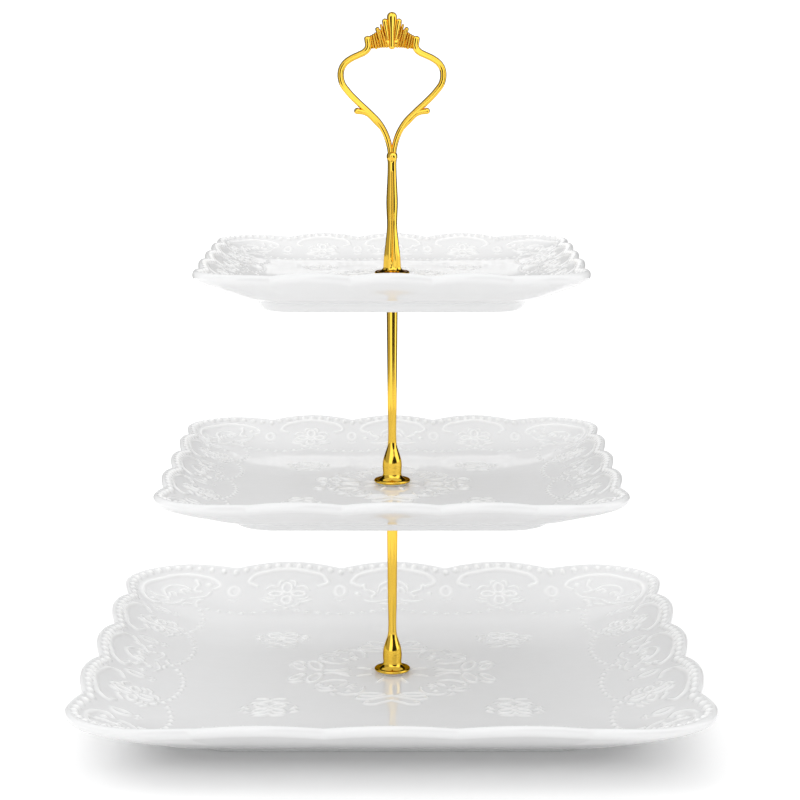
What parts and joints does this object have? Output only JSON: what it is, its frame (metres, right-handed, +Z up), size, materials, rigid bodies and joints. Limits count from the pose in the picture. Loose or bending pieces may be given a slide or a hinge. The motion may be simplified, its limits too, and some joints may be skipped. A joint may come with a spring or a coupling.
{
  "type": "tiered cake stand",
  "caption": "Three-tier cake stand: square scalloped porcelain plates with lace relief, clamped on a slim gold stem that screws together under an open crown-topped handle.",
  "frame": {"origin": "on the table under the stem's axis, level with the bottom plate's foot ring", "axes": "+Z up along the stem; the plates' sides face X and Y; the handle's open loop lies in the XZ plane and faces -Y and +Y"},
  "size_m": [0.307, 0.307, 0.3495],
  "materials": {
    "porcelain": "glossy white glaze over moulded lace relief",
    "gold": "polished gold plate",
    "steel": "plain zinc-plated thread",
    "soft_pad": "matt translucent silicone"
  },
  "bodies": {
    "bottom_tier": {"bottom_plate": "porcelain"},
    "base_clamp": {"base_screw": "steel", "bottom_washer": "gold", "bottom_lower_pad": "soft_pad"},
    "lower_lift": {"bottom_upper_pad": "soft_pad"},
    "lower_stem": {"lower_rod": "gold", "lower_stud": "steel", "middle_washer": "gold", "middle_lower_pad": "soft_pad"},
    "middle_tier": {"middle_plate": "porcelain"},
    "upper_lift": {"middle_upper_pad": "soft_pad"},
    "upper_stem": {"upper_rod": "gold", "upper_stud": "steel", "top_washer": "gold", "top_lower_pad": "soft_pad"},
    "top_tier": {"top_plate": "porcelain"},
    "handle_lift": {"top_upper_pad": "soft_pad"},
    "handle": {"crown_handle": "gold"}
  },
  "joints": [
    {"name": "stem_turn", "type": "hinge", "parent": "bottom_tier", "child": "base_clamp", "pos_m": [0, 0, 0.0095], "axis": [0, 0, 1], "continuous": true},
    {"name": "lower_rod_rise", "type": "slide", "parent": "base_clamp", "child": "lower_lift", "axis": [0, 0, 1], "range_m": [0, 0.0084]},
    {"name": "lower_rod_unscrew", "type": "hinge", "parent": "lower_lift", "child": "lower_stem", "pos_m": [0, 0, 0.0115], "axis": [0, 0, 1], "range_deg": [0, 4321]},
    {"name": "middle_plate_turn", "type": "hinge", "parent": "lower_stem", "child": "middle_tier", "pos_m": [0, 0, 0.11], "axis": [0, 0, 1], "continuous": true},
    {"name": "upper_rod_rise", "type": "slide", "parent": "lower_stem", "child": "upper_lift", "axis": [0, 0, 1], "range_m": [0, 0.0084]},
    {"name": "upper_rod_unscrew", "type": "hinge", "parent": "upper_lift", "child": "upper_stem", "pos_m": [0, 0, 0.112], "axis": [0, 0, 1], "range_deg": [0, 4321]},
    {"name": "top_plate_turn", "type": "hinge", "parent": "upper_stem", "child": "top_tier", "pos_m": [0, 0, 0.2175], "axis": [0, 0, 1], "continuous": true},
    {"name": "handle_rise", "type": "slide", "parent": "upper_stem", "child": "handle_lift", "axis": [0, 0, 1], "range_m": [0, 0.0084]},
    {"name": "handle_unscrew", "type": "hinge", "parent": "handle_lift", "child": "handle", "pos_m": [0, 0, 0.2195], "axis": [0, 0, 1], "range_deg": [0, 4321]}
  ],
  "couplings": [
    {"joint": "lower_rod_unscrew", "follows": "lower_rod_rise", "rad_per_m": 8976},
    {"joint": "upper_rod_unscrew", "follows": "upper_rod_rise", "rad_per_m": 8976},
    {"joint": "handle_unscrew", "follows": "handle_rise", "rad_per_m": 8976}
  ]
}
